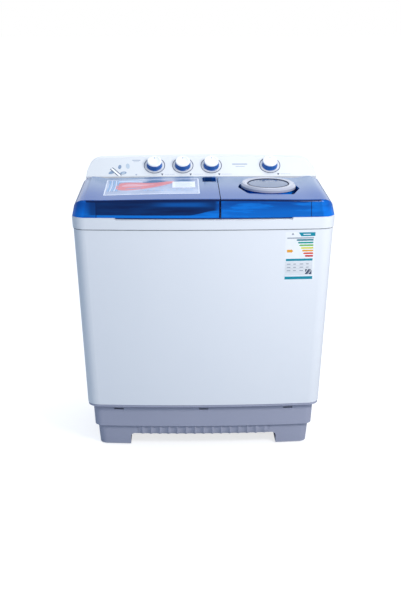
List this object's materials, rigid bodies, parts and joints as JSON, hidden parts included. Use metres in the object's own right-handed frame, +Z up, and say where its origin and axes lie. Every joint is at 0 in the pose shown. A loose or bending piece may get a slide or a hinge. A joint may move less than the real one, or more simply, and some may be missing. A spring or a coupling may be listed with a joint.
{
  "type": "twin tub washer",
  "caption": "Free-standing twin tub washing machine: square wash tub and round spin basket side by side, two hinged tinted lids, sloping knob panel, footed base.",
  "frame": {"origin": "on the floor under the middle of the whole machine", "axes": "+X to the right seen from the front, the front faces -Y, +Z up"},
  "size_m": [0.895, 0.5246, 0.9932],
  "materials": {
    "white_plastic": "glossy, very fine moulded grain",
    "tub_plastic": "satin",
    "base_plastic": "matt grey-blue, fine grain",
    "lid_blue": "polished, tinted and slightly see-through",
    "skirt_blue": "polished tinted",
    "window_smoke": "polished",
    "chrome_trim": "polished",
    "ring_silver": "satin silver",
    "rubber_dark": "matt",
    "steel": "brushed",
    "motor_paint": "satin enamel",
    "alloy": "cast, satin",
    "film_print": "printed film",
    "hose_grey": "satin",
    "switch_black": "matt",
    "filter_blue": "satin"
  },
  "bodies": {
    "cabinet_frame": {"base": "base_plastic", "base_feet": "base_plastic", "foot_pads": "rubber_dark", "cabinet": "white_plastic", "back_cover": "white_plastic", "cover_screws": "steel", "top_frame": "white_plastic", "hinge_brackets": "white_plastic", "panel_housing": "white_plastic", "panel_rear_cover": "white_plastic", "knob_bezels": "chrome_trim", "panel_decal": "film_print", "energy_label": "film_print", "wash_tub": "tub_plastic", "lint_filter": "filter_blue", "drain_column_cover": "tub_plastic", "spin_outer_tub": "tub_plastic", "spin_tub_collar": "tub_plastic", "wash_drive_plate": "steel", "wash_gearbox": "alloy", "wash_motor": "motor_paint", "drive_belt": "rubber_dark", "spin_motor_plate": "steel", "spin_motor": "motor_paint", "spin_motor_springs": "steel", "spin_bellows": "rubber_dark", "drain_valve_body": "tub_plastic", "drain_outlet": "hose_grey", "spin_drain_hose": "hose_grey", "water_inlet": "tub_plastic", "cord_grommet": "rubber_dark", "wash_timer": "switch_black", "mode_switch": "switch_black", "drain_selector": "switch_black", "spin_timer": "switch_black"},
    "wash_lid": {"wash_lid": "lid_blue", "wash_lid_hinge_pins": "steel", "wash_lid_label": "film_print"},
    "spin_lid": {"spin_lid": "lid_blue", "spin_lid_hinge_pins": "steel", "spin_lid_window": "window_smoke", "spin_lid_ring": "ring_silver"},
    "wash_timer_knob": {"wash_timer_knob": "white_plastic", "wash_timer_knob_skirt": "skirt_blue"},
    "mode_knob": {"mode_knob": "white_plastic", "mode_knob_skirt": "skirt_blue"},
    "drain_knob": {"drain_knob": "white_plastic", "drain_knob_skirt": "skirt_blue"},
    "spin_timer_knob": {"spin_timer_knob": "white_plastic", "spin_timer_knob_skirt": "skirt_blue"},
    "pulsator": {"pulsator": "tub_plastic", "pulsator_shaft": "steel"},
    "gearbox_pulley": {"gearbox_pulley": "alloy"},
    "motor_pulley": {"motor_pulley": "alloy"},
    "spin_rotor": {"spin_basket": "tub_plastic", "spin_shaft": "steel", "brake_drum": "alloy", "spin_press_plate": "tub_plastic"},
    "brake_lever": {"brake_lever": "steel"},
    "drain_plunger": {"drain_plunger": "rubber_dark"}
  },
  "joints": [
    {"name": "wash_lid_hinge", "type": "hinge", "parent": "cabinet_frame", "child": "wash_lid", "pos_m": [-0.185, 0.096, 0.896], "axis": [-1, 0, 0], "range_deg": [0, 92]},
    {"name": "spin_lid_hinge", "type": "hinge", "parent": "cabinet_frame", "child": "spin_lid", "pos_m": [0.241, 0.096, 0.896], "axis": [-1, 0, 0], "range_deg": [0, 92]},
    {"name": "wash_timer_turn", "type": "hinge", "parent": "cabinet_frame", "child": "wash_timer_knob", "pos_m": [-0.173, 0.1725, 0.95581], "axis": [0, 0.6225, -0.7826], "range_deg": [0, 300]},
    {"name": "mode_turn", "type": "hinge", "parent": "cabinet_frame", "child": "mode_knob", "pos_m": [-0.068, 0.1725, 0.95581], "axis": [0, 0.6225, -0.7826], "range_deg": [-50, 50]},
    {"name": "drain_turn", "type": "hinge", "parent": "cabinet_frame", "child": "drain_knob", "pos_m": [0.038, 0.1725, 0.95581], "axis": [0, 0.6225, -0.7826], "range_deg": [0, 90]},
    {"name": "spin_timer_turn", "type": "hinge", "parent": "cabinet_frame", "child": "spin_timer_knob", "pos_m": [0.256, 0.1725, 0.95581], "axis": [0, 0.6225, -0.7826], "range_deg": [0, 300]},
    {"name": "pulsator_spin", "type": "hinge", "parent": "cabinet_frame", "child": "pulsator", "pos_m": [-0.188, -0.069, 0.43], "axis": [0, 0, 1], "continuous": true},
    {"name": "gearbox_pulley_spin", "type": "hinge", "parent": "cabinet_frame", "child": "gearbox_pulley", "pos_m": [-0.188, -0.069, 0.27], "axis": [0, 0, 1], "continuous": true},
    {"name": "motor_pulley_spin", "type": "hinge", "parent": "cabinet_frame", "child": "motor_pulley", "pos_m": [-0.042, 0.01, 0.27], "axis": [0, 0, 1], "continuous": true},
    {"name": "spin_rotor_spin", "type": "hinge", "parent": "cabinet_frame", "child": "spin_rotor", "pos_m": [0.236, -0.064, 0.4], "axis": [0, 0, 1], "continuous": true},
    {"name": "brake_lever_turn", "type": "hinge", "parent": "cabinet_frame", "child": "brake_lever", "pos_m": [0.308, -0.01, 0.352], "axis": [0, 0, -1], "range_deg": [0, 4]},
    {"name": "drain_plunger_lift", "type": "slide", "parent": "cabinet_frame", "child": "drain_plunger", "axis": [0, 0, 1], "range_m": [0, 0.012]}
  ],
  "couplings": [
    {"joint": "gearbox_pulley_spin", "follows": "pulsator_spin", "ratio": 4},
    {"joint": "motor_pulley_spin", "follows": "pulsator_spin", "ratio": 19.294},
    {"joint": "brake_lever_turn", "follows": "spin_lid_hinge", "ratio": 0.0434},
    {"joint": "drain_plunger_lift", "follows": "drain_turn", "m_per_rad": 0.00763}
  ]
}
